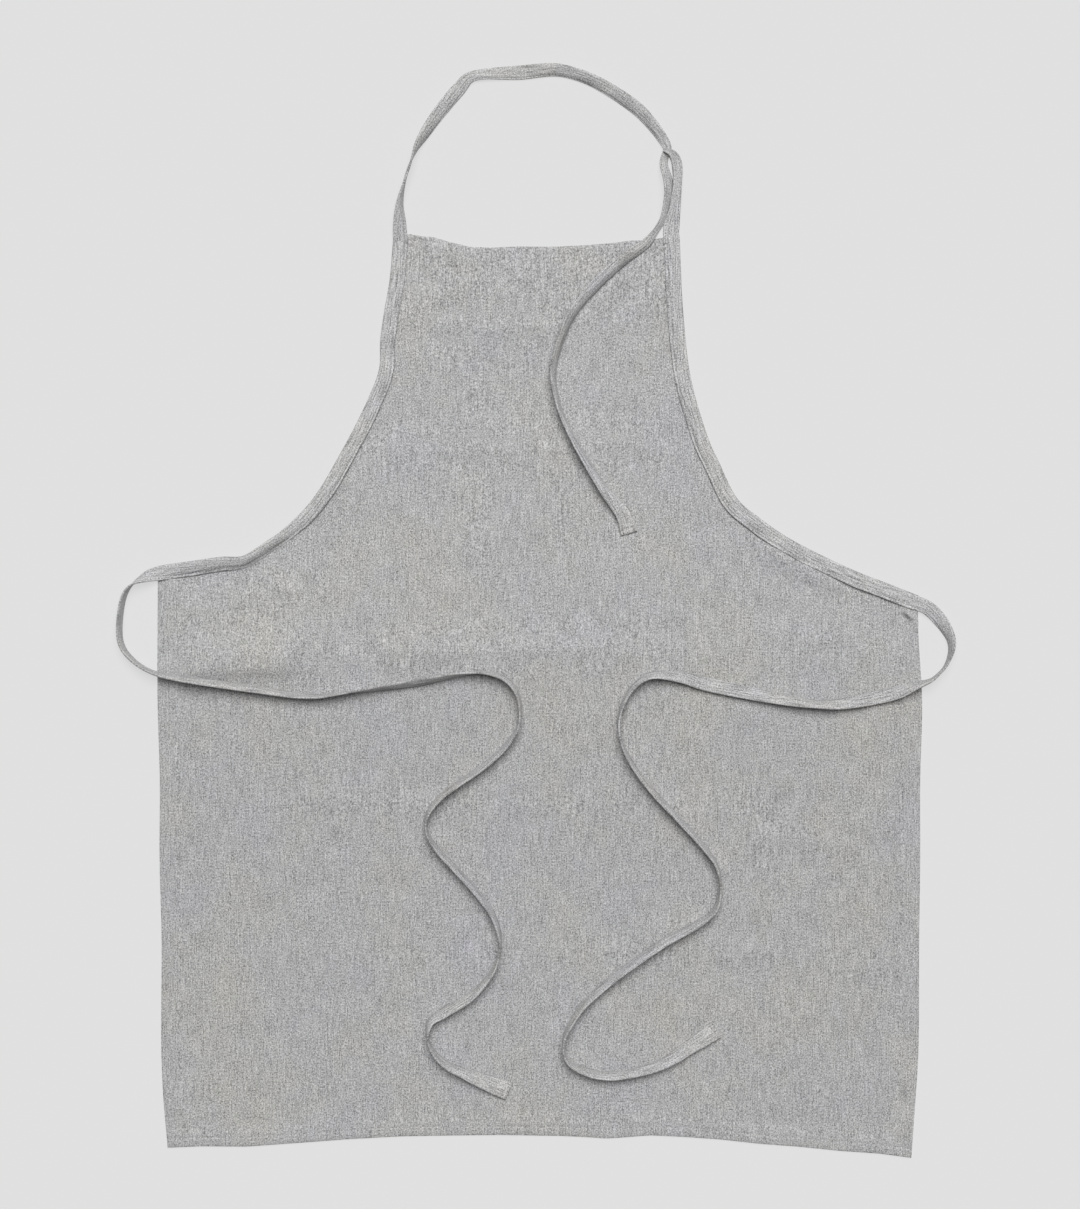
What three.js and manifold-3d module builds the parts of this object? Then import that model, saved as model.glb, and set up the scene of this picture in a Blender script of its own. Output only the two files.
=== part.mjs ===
// Kitchen apron, lying flat and face up.
// Bib and skirt are cut from one cloth with turned hems. Each armhole edge is bound with folded tape, and the
// tape runs on past the cloth: as the neck strap and the neck loop at the top, and as the two waist ties.
// Millimetres. Seen from above, +X is right and +Y is towards the neck. +Z is up, from the surface it lies on.

import * as THREE from "three";
import { mergeVertices } from "three/addons/utils/BufferGeometryUtils.js";
import loadManifold from "manifold-3d";

// Cloth, tape and seams
const CLOTH = 1.0;
const GAP = 0.3;
const FLAP = 1.0;
const TAPE_WIDTH = 13.5;
const TAPE_THICK = 1.4;
const SIDE_HEM = 11;
const BOTTOM_HEM = 9;
const TOP_HEM = 80;
const HEM_STEP = 1.5;

// The binding wraps the cloth's edge, so its back flap carries the cloth one flap and one gap up
const UNDERSIDE = FLAP + GAP;
const CLOTH_TOP = UNDERSIDE + CLOTH;
const BINDING_TOP = CLOTH_TOP + GAP + FLAP;
const BINDING_OUT = FLAP + GAP;
const BINDING_IN = TAPE_WIDTH - BINDING_OUT;

// Heights that a tape rests at: the surface, the cloth with its folds, and the middle of a binding's end
const FLOOR = 0;
const ON_CLOTH = CLOTH_TOP + 0.9;
const AT_BINDING = (BINDING_TOP - TAPE_THICK) / 2;

// The skirt's straight sections. A fold from storage lifts the cloth by rise, between the hems.
const SKIRT_SECTIONS = [
  { y: -420, left: -350, right: 353, rise: 0 },
  { y: -294, left: -354, right: 356, rise: 0 },
  { y: -280, left: -354, right: 356.5, rise: 0.4 },
  { y: -266, left: -354, right: 356.5, rise: 0 },
  { y: -156, left: -355, right: 357.5, rise: 0 },
  { y: -142, left: -355, right: 357.5, rise: 0.4 },
  { y: -128, left: -355.5, right: 358, rise: 0 },
  { y: -34, left: -357, right: 359, rise: 0 },
  { y: -10, left: -357.5, right: 358, rise: 0 },
  { y: 4, left: -357, right: 356.5, rise: 1.6 },
  { y: 18, left: -356.5, right: 355.5, rise: 0 },
];

// Where the side hems stop, just under the bindings
const SIDE_HEM_END = { y: 30, left: -356.5, right: 355.5, rise: 0 };

// The cloth's edge at the bottom, from corner to corner
const BOTTOM_EDGE = [
  { x: -347.5, y: -464 },
  { x: -275, y: -463.5 },
  { x: -178, y: -456 },
  { x: 20, y: -451.5 },
  { x: 151, y: -455 },
  { x: 208, y: -461 },
  { x: 350, y: -473.5 },
];

// The cloth's edge in the armholes, from the waist corner to the bib corner
const LEFT_ARMHOLE = [
  { x: -357.5, y: 79 },
  { x: -318, y: 86.5 },
  { x: -278, y: 90 },
  { x: -247, y: 109 },
  { x: -213, y: 142 },
  { x: -181, y: 194 },
  { x: -157, y: 242 },
  { x: -148.5, y: 268 },
  { x: -144.5, y: 322 },
  { x: -136, y: 393 },
];
const RIGHT_ARMHOLE = [
  { x: 356.5, y: 51 },
  { x: 294, y: 76.5 },
  { x: 234, y: 106.5 },
  { x: 205, y: 124.5 },
  { x: 185, y: 143.5 },
  { x: 158.5, y: 196 },
  { x: 142, y: 256 },
  { x: 134, y: 318 },
  { x: 130.5, y: 393 },
];
const ARMHOLE_STEPS = 22;

// A storage fold across the bib, as a share of the armhole's length
const BIB_FOLD = { share: 0.57, reach: 0.05, rise: 0.4 };

// How far the bib's top edge hangs below the line between its corners
const TOP_EDGE_SAG = [
  { x: -136, y: 0 },
  { x: -93, y: -7 },
  { x: -66, y: -11.5 },
  { x: 13, y: -11.5 },
  { x: 61, y: -7.5 },
  { x: 130.5, y: 0 },
];

// Columns of the cloth between its side edges, as shares of the width inside the edge columns
const INNER_COLUMNS = [0.14, 0.32, 0.5, 0.68, 0.86];

// Routes of the free tapes. tilt is how far the tape is rolled about its length, in degrees: 0 lies flat, 90
// stands on edge, and 180 lies flat on its other face. A tilt above 0 lifts the edge on the left of the way
// that it runs, and one below 0 the edge on the right. rests is the height of what its lowest edge rests on.
// A row with no width has the tape's own.
const NECK_STRAP = [
  { x: -130.5, y: 393.8, tilt: 0, rests: AT_BINDING },
  { x: -129.4, y: 417.1, tilt: 56, rests: FLOOR },
  { x: -128.3, y: 426.5, tilt: 78, rests: FLOOR },
  { x: -125, y: 445.2, tilt: 100, rests: FLOOR },
  { x: -121.3, y: 458.9, tilt: 102, rests: FLOOR },
  { x: -115.6, y: 471.5, tilt: 88, rests: FLOOR },
  { x: -109.6, y: 482, tilt: 56, rests: FLOOR },
  { x: -96.9, y: 502.3, tilt: 32, rests: FLOOR },
  { x: -82.5, y: 521.4, tilt: 20, rests: FLOOR },
  { x: -75, y: 530.5, tilt: 18, rests: FLOOR },
  { x: -67.6, y: 539.8, tilt: -6, rests: FLOOR, width: 11.2 },
  { x: -61.6, y: 542.8, tilt: -14, rests: FLOOR, width: 9.8 },
  { x: -50, y: 544.6, tilt: -11, rests: FLOOR, width: 10.5 },
  { x: -19.2, y: 545.9, tilt: 4, rests: FLOOR },
  { x: 16.4, y: 547.7, tilt: 26, rests: FLOOR, width: 12.8 },
  { x: 39.2, y: 542.1, tilt: 30, rests: FLOOR, width: 12.3 },
  { x: 60.9, y: 532.1, tilt: 26, rests: FLOOR, width: 12.8 },
  { x: 91, y: 511.9, tilt: 24, rests: FLOOR },
  { x: 104.3, y: 498.3, tilt: 32, rests: FLOOR, width: 12.5 },
  { x: 116.5, y: 482.8, tilt: 18, rests: FLOOR, width: 10 },
  { x: 120.6, y: 474, tilt: 2, rests: 1.9, width: 8.2 },
  { x: 118.7, y: 468.2, tilt: -4, rests: 1.6, width: 5.8 },
  { x: 117.3, y: 461.3, tilt: -40, rests: FLOOR, width: 8.8 },
  { x: 121.3, y: 445.4, tilt: -46, rests: 3, width: 13.2 },
  { x: 122.2, y: 434, tilt: -50, rests: 3 },
  { x: 121.1, y: 423.7, tilt: -58, rests: 3 },
  { x: 117.7, y: 410, tilt: -50, rests: 3, width: 8.5 },
  { x: 110.6, y: 398.1, tilt: -16, rests: ON_CLOTH, width: 5 },
  { x: 100, y: 384.5, tilt: -30, rests: ON_CLOTH, width: 10.5 },
  { x: 79.7, y: 369, tilt: -38, rests: ON_CLOTH },
  { x: 44.8, y: 335.4, tilt: -38, rests: ON_CLOTH },
  { x: 31, y: 316.3, tilt: -60, rests: ON_CLOTH },
  { x: 22, y: 296.2, tilt: -66, rests: ON_CLOTH },
  { x: 14.3, y: 266, tilt: -69, rests: ON_CLOTH },
  { x: 17.4, y: 238.8, tilt: -76, rests: ON_CLOTH },
  { x: 28.3, y: 210.4, tilt: -70, rests: ON_CLOTH },
  { x: 58.9, y: 158.5, tilt: -52, rests: ON_CLOTH },
  { x: 78.8, y: 130.9, tilt: -12, rests: ON_CLOTH, width: 14.5 },
  { x: 84.6, y: 113, tilt: 0, rests: ON_CLOTH, width: 16 },
];
const LEFT_WAIST_TIE = [
  { x: -358.5, y: 75.2, tilt: 0, rests: AT_BINDING },
  { x: -363.4, y: 74.6, tilt: 12, rests: 0.6 },
  { x: -369.8, y: 72.9, tilt: 44, rests: FLOOR },
  { x: -377.3, y: 69, tilt: 80, rests: FLOOR },
  { x: -385.3, y: 60.9, tilt: 100, rests: FLOOR },
  { x: -390, y: 49.3, tilt: 102, rests: FLOOR },
  { x: -392.7, y: 17, tilt: 103, rests: FLOOR },
  { x: -389, y: 4.5, tilt: 102, rests: FLOOR },
  { x: -380.1, y: -5.9, tilt: 99, rests: FLOOR },
  { x: -368.6, y: -13.8, tilt: 97, rests: 2 },
  { x: -356, y: -18.6, tilt: 100, rests: ON_CLOTH },
  { x: -337.1, y: -21.7, tilt: 114, rests: ON_CLOTH },
  { x: -271.3, y: -31.2, tilt: 120, rests: ON_CLOTH },
  { x: -213.5, y: -39.2, tilt: 104, rests: ON_CLOTH },
  { x: -182.6, y: -36.7, tilt: 92, rests: ON_CLOTH },
  { x: -116.4, y: -28.4, tilt: 58, rests: ON_CLOTH },
  { x: -66.5, y: -18.6, tilt: 84, rests: ON_CLOTH },
  { x: -48.4, y: -17.4, tilt: 100, rests: ON_CLOTH },
  { x: -31.1, y: -23, tilt: 108, rests: ON_CLOTH },
  { x: -20.1, y: -36.1, tilt: 106, rests: ON_CLOTH },
  { x: -17.5, y: -54, tilt: 94, rests: ON_CLOTH },
  { x: -21, y: -70.3, tilt: 82, rests: ON_CLOTH },
  { x: -31.8, y: -85.8, tilt: 72, rests: ON_CLOTH },
  { x: -51.6, y: -103.9, tilt: 68, rests: ON_CLOTH },
  { x: -95.7, y: -136.5, tilt: 70, rests: ON_CLOTH },
  { x: -106, y: -153.4, tilt: 80, rests: ON_CLOTH },
  { x: -105.3, y: -166.3, tilt: 92, rests: ON_CLOTH },
  { x: -96.4, y: -180.9, tilt: 106, rests: ON_CLOTH },
  { x: -54, y: -227.7, tilt: 112, rests: ON_CLOTH },
  { x: -39.8, y: -251.2, tilt: 106, rests: ON_CLOTH },
  { x: -36.2, y: -274.5, tilt: 94, rests: ON_CLOTH },
  { x: -43.3, y: -295.5, tilt: 76, rests: ON_CLOTH },
  { x: -62.6, y: -318.9, tilt: 62, rests: ON_CLOTH },
  { x: -88, y: -334.7, tilt: 46, rests: ON_CLOTH },
  { x: -102.4, y: -344.1, tilt: 60, rests: ON_CLOTH },
  { x: -105.2, y: -357.5, tilt: 86, rests: ON_CLOTH },
  { x: -99, y: -372.1, tilt: 100, rests: ON_CLOTH },
  { x: -86.3, y: -384.5, tilt: 112, rests: ON_CLOTH },
  { x: -67.6, y: -393.4, tilt: 132, rests: ON_CLOTH },
  { x: -28.2, y: -411, tilt: 180, rests: ON_CLOTH, width: 17.5 },
];
const RIGHT_WAIST_TIE = [
  { x: 358.8, y: 45.9, tilt: 0, rests: AT_BINDING },
  { x: 363.2, y: 44.1, tilt: 0, rests: 0.6 },
  { x: 371.2, y: 37.6, tilt: 6, rests: FLOOR },
  { x: 377.9, y: 28.9, tilt: 22, rests: FLOOR },
  { x: 382.8, y: 19.7, tilt: 46, rests: FLOOR },
  { x: 385.6, y: 12.2, tilt: 64, rests: FLOOR },
  { x: 386, y: 2.7, tilt: 80, rests: FLOOR },
  { x: 380.9, y: -11.9, tilt: 92, rests: FLOOR },
  { x: 375.2, y: -18.2, tilt: 94, rests: 2 },
  { x: 368.1, y: -23.9, tilt: 90, rests: ON_CLOTH },
  { x: 351.6, y: -28.9, tilt: 58, rests: ON_CLOTH },
  { x: 336.9, y: -35.4, tilt: 22, rests: ON_CLOTH },
  { x: 318.6, y: -40.4, tilt: 8, rests: ON_CLOTH },
  { x: 280.8, y: -46.1, tilt: 42, rests: ON_CLOTH },
  { x: 262.5, y: -46.2, tilt: 64, rests: ON_CLOTH },
  { x: 224.8, y: -41.2, tilt: 34, rests: ON_CLOTH },
  { x: 153.1, y: -27.3, tilt: 10, rests: ON_CLOTH },
  { x: 136.2, y: -21.7, tilt: 38, rests: ON_CLOTH },
  { x: 105.3, y: -19.2, tilt: 66, rests: ON_CLOTH },
  { x: 90.4, y: -27.8, tilt: 72, rests: ON_CLOTH },
  { x: 79.9, y: -43, tilt: 80, rests: ON_CLOTH },
  { x: 74.8, y: -62.5, tilt: 88, rests: ON_CLOTH },
  { x: 76.8, y: -79.8, tilt: 94, rests: ON_CLOTH },
  { x: 85.5, y: -99.1, tilt: 104, rests: ON_CLOTH },
  { x: 103.8, y: -124.3, tilt: 112, rests: ON_CLOTH },
  { x: 154.1, y: -179.7, tilt: 108, rests: ON_CLOTH },
  { x: 167.4, y: -199.6, tilt: 100, rests: ON_CLOTH },
  { x: 170.1, y: -221, tilt: 92, rests: ON_CLOTH },
  { x: 163.8, y: -240.4, tilt: 76, rests: ON_CLOTH },
  { x: 144.9, y: -254.4, tilt: 64, rests: ON_CLOTH },
  { x: 115.8, y: -270.3, tilt: 58, rests: ON_CLOTH },
  { x: 51.4, y: -318.8, tilt: 66, rests: ON_CLOTH },
  { x: 30.2, y: -344.6, tilt: 74, rests: ON_CLOTH },
  { x: 22.6, y: -367, tilt: 87, rests: ON_CLOTH },
  { x: 28, y: -381.5, tilt: 104, rests: ON_CLOTH },
  { x: 45, y: -391, tilt: 116, rests: ON_CLOTH },
  { x: 68.5, y: -394.5, tilt: 119, rests: ON_CLOTH },
  { x: 116.6, y: -383.1, tilt: 134, rests: ON_CLOTH },
  { x: 140.8, y: -369, tilt: 158, rests: ON_CLOTH },
  { x: 166.4, y: -353.1, tilt: 176, rests: ON_CLOTH, width: 17.2 },
];
const STEPS_PER_ROW = 2;

// The doubled tape of the neck loop, from the binding's end to the eye at its top
const LOOP_STEM = [
  { x: 124.5, y: 394.2, tilt: 0, rests: 0.4 },
  { x: 126, y: 410, tilt: 0, rests: FLOOR, width: 12 },
  { x: 128.5, y: 430, tilt: 0, rests: FLOOR, width: 9.5 },
  { x: 129.5, y: 450, tilt: 0, rests: FLOOR, width: 8.5 },
  { x: 129.5, y: 462, tilt: 0, rests: FLOOR, width: 7.5 },
  { x: 128.7, y: 471.5, tilt: 0, rests: FLOOR, width: 4 },
];
const LOOP_EYE = {
  left: 114,
  right: 131,
  innerLeft: 115.4,
  innerRight: 126,
  top: 473.5,
  depth: 5.2,
  wall: 1.4,
  innerHeight: 2.6,
};

// Colours as the cloth shows them in soft light
const HEATHER_GREY = 0xabaaaa;
const TAPE_GREY = 0xa6a5a6;

const wasm = await loadManifold();
wasm.setup();

// Keeps only the places of a closed surface, with shared corners joined.
function closedSurface(geometry) {
  geometry.deleteAttribute("uv");
  geometry.deleteAttribute("normal");
  const surface = mergeVertices(geometry, 1e-4);
  surface.computeVertexNormals();
  return surface;
}

function solidOf(geometry) {
  const surface = closedSurface(geometry);
  const vertProperties = new Float32Array(surface.getAttribute("position").array);
  const triVerts = new Uint32Array(surface.getIndex().array);
  return new wasm.Manifold(new wasm.Mesh({ numProp: 3, vertProperties, triVerts }));
}

function geometryOf(solid) {
  const mesh = solid.getMesh();
  const geometry = new THREE.BufferGeometry();
  geometry.setAttribute("position", new THREE.BufferAttribute(mesh.vertProperties, 3));
  geometry.setIndex(new THREE.BufferAttribute(mesh.triVerts, 1));
  geometry.computeVertexNormals();
  return geometry;
}

// A value from a table of x and y, in straight lines between its rows.
function readTable(rows, x) {
  const after = rows.findIndex((row) => row.x >= x);
  if (after <= 0) {
    return after === 0 ? rows[0].y : rows.at(-1).y;
  }
  const [low, high] = [rows[after - 1], rows[after]];
  return THREE.MathUtils.mapLinear(x, low.x, high.x, low.y, high.y);
}

function curveThrough(rows) {
  const spots = rows.map((row) => new THREE.Vector3(row.x, row.y, 0));
  const curve = new THREE.CatmullRomCurve3(spots, false, "centripetal");
  curve.arcLengthDivisions = 1000;
  return curve;
}

// The armhole edges at even steps, with two close steps where the top hem ends.
const leftCurve = curveThrough(LEFT_ARMHOLE);
const rightCurve = curveThrough(RIGHT_ARMHOLE);
const hemShare = 1 - TOP_HEM / leftCurve.getLength();
const belowHemShare = hemShare - HEM_STEP / leftCurve.getLength();
const evenShares = Array.from({ length: ARMHOLE_STEPS + 1 }, (_, step) => step / ARMHOLE_STEPS);
const clearOfHem = evenShares.filter((share) => Math.abs(share - hemShare) > 0.3 / ARMHOLE_STEPS);
const armholeShares = [...clearOfHem, belowHemShare, hemShare].sort((a, b) => a - b);

// Lays a straight strip of one cross-section along a list of stations, one for each step of the strip.
function layAlong(section, stations) {
  const steps = stations.length - 1;
  const strip = new THREE.ExtrudeGeometry(section, { depth: steps, steps, bevelEnabled: false });
  const place = strip.getAttribute("position");
  for (let i = 0; i < place.count; i += 1) {
    const { centre, across, upright, width } = stations[Math.round(place.getZ(i))];
    const spot = centre.clone();
    spot.addScaledVector(across, place.getX(i) * width);
    spot.addScaledVector(upright, place.getY(i));
    place.setXYZ(i, spot.x, spot.y, spot.z);
  }
  return closedSurface(strip);
}

// A flat tape's cross-section, one unit wide, with its edges eased.
function tapeSection(thickness) {
  const half = thickness / 2;
  const ease = 0.03;
  const section = new THREE.Shape();
  section.moveTo(-0.5 + ease, -half);
  section.lineTo(0.5 - ease, -half);
  section.lineTo(0.5, -half / 2);
  section.lineTo(0.5, half / 2);
  section.lineTo(0.5 - ease, half);
  section.lineTo(-0.5 + ease, half);
  section.lineTo(-0.5, half / 2);
  section.lineTo(-0.5, -half / 2);
  section.closePath();
  return section;
}

// The stations of a tape along its route, with the lowest edge on what the tape rests on.
function tapeStations(route, thickness) {
  const curve = curveThrough(route);
  const intervals = route.length - 1;
  const steps = intervals * STEPS_PER_ROW;
  return Array.from({ length: steps + 1 }, (_, step) => {
    const row = Math.min(Math.floor(step / STEPS_PER_ROW), intervals - 1);
    const mix = step / STEPS_PER_ROW - row;
    const [from, to] = [{ width: TAPE_WIDTH, ...route[row] }, { width: TAPE_WIDTH, ...route[row + 1] }];
    const column = (name) => THREE.MathUtils.lerp(from[name], to[name], mix);
    const centre = curve.getPoint(step / steps);
    const along = curve.getTangent(step / steps);
    const left = new THREE.Vector3(-along.y, along.x, 0);
    const tilt = THREE.MathUtils.degToRad(column("tilt"));
    const width = column("width");
    const halfHeight = (width * Math.abs(Math.sin(tilt)) + thickness * Math.abs(Math.cos(tilt))) / 2;
    centre.z = column("rests") + halfHeight;
    const across = left.clone().multiplyScalar(Math.cos(tilt));
    across.z = Math.sin(tilt);
    const upright = left.clone().multiplyScalar(-Math.sin(tilt));
    upright.z = Math.cos(tilt);
    return { centre, across, upright, width };
  });
}

function tape(route, thickness = TAPE_THICK) {
  return layAlong(tapeSection(thickness), tapeStations(route, thickness));
}

// A folded tape round the cloth's edge: a back flap, the fold outside the edge, and a front flap.
function bindingSection() {
  const ease = 0.4;
  const section = new THREE.Shape();
  section.moveTo(-BINDING_IN, 0);
  section.lineTo(BINDING_OUT - ease, 0);
  section.lineTo(BINDING_OUT, ease);
  section.lineTo(BINDING_OUT, BINDING_TOP - ease);
  section.lineTo(BINDING_OUT - ease, BINDING_TOP);
  section.lineTo(-BINDING_IN, BINDING_TOP);
  section.lineTo(-BINDING_IN, BINDING_TOP - FLAP);
  section.lineTo(GAP, BINDING_TOP - FLAP);
  section.lineTo(GAP, FLAP);
  section.lineTo(-BINDING_IN, FLAP);
  section.closePath();
  return section;
}

// The stations of a binding keep the cloth on the right of the way that they run.
function bindingStations(curve, shares) {
  const upright = new THREE.Vector3(0, 0, 1);
  return shares.map((share) => {
    const along = curve.getTangentAt(share);
    along.multiplyScalar(shares[0] < shares.at(-1) ? 1 : -1);
    const across = new THREE.Vector3(-along.y, along.x, 0);
    return { centre: curve.getPointAt(share), across, upright, width: 1 };
  });
}

// The cloth's sections from the bottom edge to the top edge. Each has its two ends, its rise, how its line
// leaves the straight between the ends, and which of its columns have a turned hem under them.
function clothSections() {
  const bottomCorners = [BOTTOM_EDGE[0], BOTTOM_EDGE.at(-1)];
  const bottomRow = (up, hem) => ({
    left: { x: bottomCorners[0].x, y: 0 },
    right: { x: bottomCorners[1].x, y: 0 },
    rise: 0,
    bend: (x) => readTable(BOTTOM_EDGE, x) + up,
    hem,
  });
  const straightRow = (row, hem) => ({
    left: { x: row.left, y: row.y },
    right: { x: row.right, y: row.y },
    rise: row.rise,
    bend: () => 0,
    hem,
  });
  const armholeRow = (share) => {
    const fold = 1 - Math.abs(share - BIB_FOLD.share) / BIB_FOLD.reach;
    const topShare = THREE.MathUtils.smoothstep(share, belowHemShare - 0.2, 1);
    const inHem = share >= hemShare;
    return {
      left: leftCurve.getPointAt(share),
      right: rightCurve.getPointAt(share),
      rise: BIB_FOLD.rise * Math.max(0, fold),
      bend: (x) => readTable(TOP_EDGE_SAG, x) * topShare,
      hem: inHem ? "between bindings" : "none",
    };
  };
  const sideHemTop = { ...SIDE_HEM_END, y: SIDE_HEM_END.y - HEM_STEP };
  return [
    bottomRow(0, "all"),
    bottomRow(BOTTOM_HEM, "all"),
    bottomRow(BOTTOM_HEM + HEM_STEP, "sides"),
    ...SKIRT_SECTIONS.map((row) => straightRow(row, "sides")),
    straightRow(sideHemTop, "sides"),
    straightRow(SIDE_HEM_END, "none"),
    ...armholeShares.map(armholeRow),
  ];
}

// Distances of the edge columns from the cloth's side edge: the hem, its step, and the step of the top hem.
const EDGE_COLUMNS = [0, SIDE_HEM, SIDE_HEM + HEM_STEP, BINDING_IN + 4, BINDING_IN + 4 + HEM_STEP];

function hasHem(hem, fromSide) {
  const kinds = { all: true, none: false, sides: fromSide <= SIDE_HEM };
  return kinds[hem] ?? fromSide >= EDGE_COLUMNS.at(-1);
}

// The cloth as one block, two faces of a grid, with each corner moved to its section and column.
function bodyPanel() {
  const sections = clothSections();
  const edges = EDGE_COLUMNS.length;
  const columns = edges * 2 + INNER_COLUMNS.length;
  const [across, along] = [columns - 1, sections.length - 1];
  const block = new THREE.BoxGeometry(across, along, 1, across, along, 1);
  block.translate(across / 2, along / 2, 0);
  const place = block.getAttribute("position");
  for (let i = 0; i < place.count; i += 1) {
    const column = Math.round(place.getX(i));
    const { left, right, rise, bend, hem } = sections[Math.round(place.getY(i))];
    const width = right.x - left.x;
    const inner = EDGE_COLUMNS.at(-1);
    const offsets = [
      ...EDGE_COLUMNS,
      ...INNER_COLUMNS.map((share) => inner + share * (width - 2 * inner)),
      ...EDGE_COLUMNS.map((distance) => width - distance).reverse(),
    ];
    const offset = offsets[column];
    const fromSide = Math.min(offset, width - offset);
    const x = left.x + offset;
    const y = THREE.MathUtils.lerp(left.y, right.y, offset / width) + bend(x);
    const lift = fromSide > inner ? rise : 0;
    const underside = hasHem(hem, fromSide) ? 0 : UNDERSIDE + lift;
    const z = place.getZ(i) > 0 ? CLOTH_TOP + lift : underside;
    place.setXYZ(i, x, y, z);
  }
  return closedSurface(block);
}

// The eye that the strap runs through, on the end of the doubled stem.
function neckLoop() {
  const { left, right, innerLeft, innerRight, top, depth, wall, innerHeight } = LOOP_EYE;
  const height = innerHeight + 2 * wall;
  const ease = wall / 2;
  const ring = new THREE.Shape();
  ring.moveTo(left, ease);
  ring.lineTo(left + ease, 0);
  ring.lineTo(right, 0);
  ring.lineTo(right, height - wall * 1.5);
  ring.lineTo(right - wall * 1.5, height);
  ring.lineTo(left + ease, height);
  ring.lineTo(left, height - ease);
  ring.closePath();
  const hole = new THREE.Path();
  hole.moveTo(innerLeft, wall);
  hole.lineTo(innerLeft, wall + innerHeight);
  hole.lineTo(innerRight, wall + innerHeight);
  hole.lineTo(innerRight, wall);
  hole.closePath();
  ring.holes.push(hole);
  const eye = new THREE.ExtrudeGeometry(ring, { depth, steps: 1, bevelEnabled: false });
  eye.rotateX(Math.PI / 2);
  eye.translate(0, top, 0);
  return geometryOf(solidOf(eye).add(solidOf(tape(LOOP_STEM, 2 * TAPE_THICK))));
}

function clothMesh(name, geometry, colour) {
  const material = new THREE.MeshStandardMaterial({ color: colour, roughness: 0.95, metalness: 0 });
  const mesh = new THREE.Mesh(geometry, material);
  mesh.name = name;
  return mesh;
}

const fallingShares = [...armholeShares].reverse();
const leftBinding = layAlong(bindingSection(), bindingStations(leftCurve, armholeShares));
const rightBinding = layAlong(bindingSection(), bindingStations(rightCurve, fallingShares));

const apron = new THREE.Group();
apron.add(clothMesh("body_panel", bodyPanel(), HEATHER_GREY));
apron.add(clothMesh("left_binding", leftBinding, TAPE_GREY));
apron.add(clothMesh("right_binding", rightBinding, TAPE_GREY));
apron.add(clothMesh("neck_strap", tape(NECK_STRAP), TAPE_GREY));
apron.add(clothMesh("neck_loop", neckLoop(), TAPE_GREY));
apron.add(clothMesh("left_waist_tie", tape(LEFT_WAIST_TIE), TAPE_GREY));
apron.add(clothMesh("right_waist_tie", tape(RIGHT_WAIST_TIE), TAPE_GREY));

export default apron;
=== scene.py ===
import math

import bpy
import numpy as np
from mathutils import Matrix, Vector, noise


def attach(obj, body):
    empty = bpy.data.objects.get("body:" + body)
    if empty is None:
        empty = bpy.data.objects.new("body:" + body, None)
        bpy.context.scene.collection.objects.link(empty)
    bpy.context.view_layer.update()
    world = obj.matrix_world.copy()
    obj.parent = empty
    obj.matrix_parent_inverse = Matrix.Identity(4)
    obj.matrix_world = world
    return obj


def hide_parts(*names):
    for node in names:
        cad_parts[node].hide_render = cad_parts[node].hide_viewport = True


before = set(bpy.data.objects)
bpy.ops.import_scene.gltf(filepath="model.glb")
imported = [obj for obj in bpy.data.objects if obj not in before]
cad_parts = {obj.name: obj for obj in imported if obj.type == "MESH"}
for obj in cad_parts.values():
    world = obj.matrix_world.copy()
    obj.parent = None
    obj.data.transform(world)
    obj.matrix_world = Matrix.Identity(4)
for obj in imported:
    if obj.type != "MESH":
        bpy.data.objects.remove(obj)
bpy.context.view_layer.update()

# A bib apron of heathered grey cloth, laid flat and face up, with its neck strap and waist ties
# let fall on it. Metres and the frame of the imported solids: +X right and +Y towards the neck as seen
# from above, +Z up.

MM = 0.001
UP = np.array([0.0, 0.0, 1.0])

# Thickness of one layer of cloth, and width of the folded tape
CLOTH = 0.0007
TAPE = 0.0135

# Depth of each turned hem, and how far from the cloth's edge its groove of stitches runs
SIDE_HEM = 0.011
BOTTOM_HEM = 0.0095
TOP_HEM = 0.080
SIDE_GROOVE = SIDE_HEM - 0.0014
BOTTOM_GROOVE = BOTTOM_HEM - 0.0013
TOP_GROOVE = TOP_HEM - 0.0013

# Heights of the cloth's upper face: where it lies alone, and on a turned hem or in a binding
LYING = 0.0011
HEMMED = 0.0023

# Outline of the cloth

LEFT_SIDE = [
    (-0.3488, -0.464), (-0.3527, -0.4195), (-0.3546, -0.382), (-0.3549, -0.344), (-0.3545, -0.269),
    (-0.3564, -0.194), (-0.3562, -0.119), (-0.3583, -0.0435), (-0.358, 0.081),
]
RIGHT_SIDE = [
    (0.3497, -0.4735), (0.3535, -0.4195), (0.356, -0.382), (0.3568, -0.344), (0.357, -0.27),
    (0.358, -0.194), (0.358, -0.119), (0.3598, -0.0435), (0.3562, 0.02), (0.356, 0.0535),
]
LEFT_ARMHOLE = [
    (-0.358, 0.081), (-0.3469, 0.083), (-0.3281, 0.0855), (-0.3093, 0.0883), (-0.2952, 0.09),
    (-0.2858, 0.0897), (-0.2782, 0.0903), (-0.2717, 0.0933), (-0.2623, 0.0994), (-0.2535, 0.1055),
    (-0.2435, 0.1122), (-0.2137, 0.142), (-0.182, 0.194), (-0.1581, 0.242), (-0.1488, 0.268),
    (-0.1478, 0.2949), (-0.144, 0.322), (-0.139, 0.3513), (-0.1355, 0.393),
]
RIGHT_ARMHOLE = [
    (0.356, 0.0535), (0.33, 0.0638), (0.294, 0.0778), (0.234, 0.1076), (0.2048, 0.1278),
    (0.1857, 0.1444), (0.1666, 0.1822), (0.1601, 0.1958), (0.1418, 0.256), (0.1343, 0.318),
    (0.1306, 0.393),
]
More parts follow.
